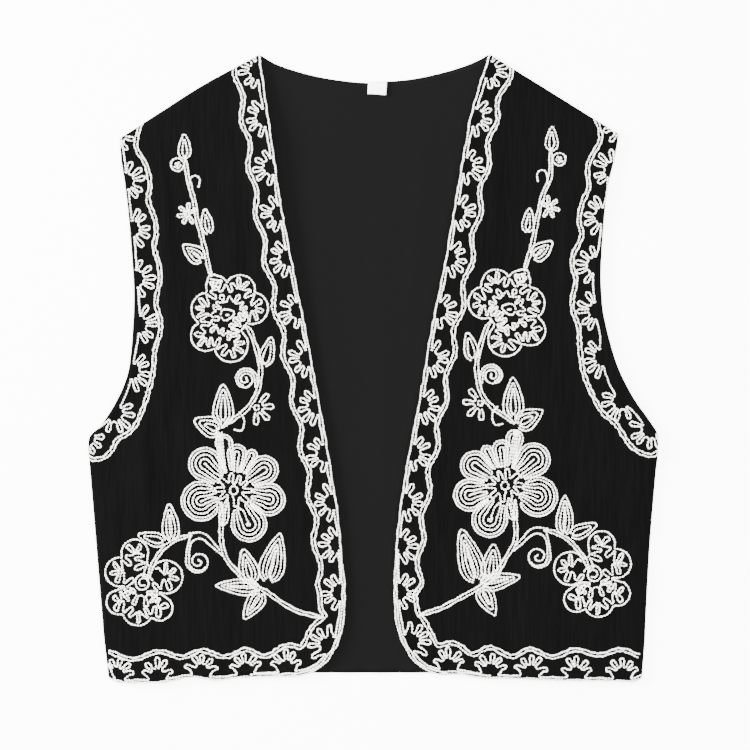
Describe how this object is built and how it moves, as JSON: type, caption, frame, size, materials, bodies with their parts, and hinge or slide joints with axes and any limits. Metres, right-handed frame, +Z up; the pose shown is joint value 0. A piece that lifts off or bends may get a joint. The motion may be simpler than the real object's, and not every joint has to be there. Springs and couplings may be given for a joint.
{
  "type": "embroidered vest",
  "caption": "Open-front sleeveless vest of black crinkle cotton laid flat, with cream chain stitch flowers, leaves and a waved border, and a bare neck label.",
  "frame": {"origin": "centre of the vest's bounding box, on the surface that it lies on", "axes": "+X to the right of the picture, across the chest; +Y from the hem to the neck; +Z up, from the back to the fronts"},
  "size_m": [0.4563, 0.5037, 0.006],
  "materials": {
    "black_cotton": "black crinkled cotton, matt, fine vertical creases",
    "black_inside": "inside of the black cotton, plain and matt",
    "chain_stitch": "cream cotton thread in chain stitch, soft sheen",
    "label_tape": "white woven tape, bare"
  },
  "bodies": {
    "root": {"armhole_border_line_left": "chain_stitch", "armhole_border_line_right": "chain_stitch", "armhole_line_left": "chain_stitch", "armhole_line_right": "chain_stitch", "back_panel": "black_inside", "border_line_left": "chain_stitch", "border_line_right": "chain_stitch", "daisy_half_left": "chain_stitch", "daisy_half_right": "chain_stitch", "daisy_small_left": "chain_stitch", "daisy_small_right": "chain_stitch", "edge_line_left": "chain_stitch", "edge_line_right": "chain_stitch", "flower_big_left": "chain_stitch", "flower_big_right": "chain_stitch", "flower_low_left": "chain_stitch", "flower_low_right": "chain_stitch", "flower_upper_left": "chain_stitch", "flower_upper_right": "chain_stitch", "front_left": "black_cotton", "front_right": "black_cotton", "leaf_hip_left": "chain_stitch", "leaf_hip_right": "chain_stitch", "leaf_inner_left": "chain_stitch", "leaf_inner_right": "chain_stitch", "leaf_low_side_left": "chain_stitch", "leaf_low_side_right": "chain_stitch", "leaf_low_upright_left": "chain_stitch", "leaf_low_upright_right": "chain_stitch", "leaf_middle_left": "chain_stitch", "leaf_middle_right": "chain_stitch", "leaf_outer_left": "chain_stitch", "leaf_outer_right": "chain_stitch", "leaf_round_left": "chain_stitch", "leaf_round_right": "chain_stitch", "leaf_side_left": "chain_stitch", "leaf_side_right": "chain_stitch", "leaf_slim_left": "chain_stitch", "leaf_slim_right": "chain_stitch", "leaf_top_left": "chain_stitch", "leaf_top_right": "chain_stitch", "leaf_under_left": "chain_stitch", "leaf_under_right": "chain_stitch", "leaf_upright_left": "chain_stitch", "leaf_upright_right": "chain_stitch", "neck_label": "label_tape", "spiral_low_left": "chain_stitch", "spiral_low_right": "chain_stitch", "spiral_middle_left": "chain_stitch", "spiral_middle_right": "chain_stitch", "stem_arch_left": "chain_stitch", "stem_arch_right": "chain_stitch", "stem_lower_left": "chain_stitch", "stem_lower_right": "chain_stitch", "stem_middle_left": "chain_stitch", "stem_middle_right": "chain_stitch", "stem_upper_left": "chain_stitch", "stem_upper_right": "chain_stitch"}
  },
  "joints": []
}
